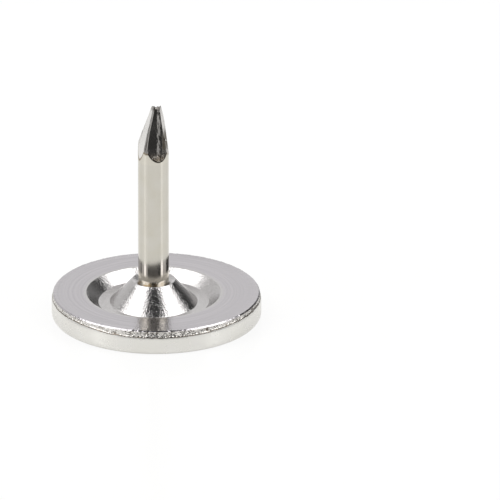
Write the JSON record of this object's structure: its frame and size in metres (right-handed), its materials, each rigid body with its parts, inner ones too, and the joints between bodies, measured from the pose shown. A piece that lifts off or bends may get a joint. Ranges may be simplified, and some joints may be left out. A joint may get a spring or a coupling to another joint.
{
  "type": "upholstery tack",
  "caption": "Upholstery tack with a flat round blanked head, a pressed boss gripping a round wire shank, and a faceted point.",
  "frame": {"origin": "centre of the round brushed face that the tack stands on", "axes": "+Z along the pin from the face towards the point; +X across the head, away from the side towards which the pin sits a little off centre"},
  "size_m": [0.0102, 0.0102, 0.0109],
  "materials": {
    "head_steel": "nickel-plated steel, satin underside and brushed face",
    "pin_steel": "nickel-plated steel wire, smooth and slightly warm in colour"
  },
  "bodies": {
    "root": {"head": "head_steel", "pin": "pin_steel"}
  },
  "joints": []
}
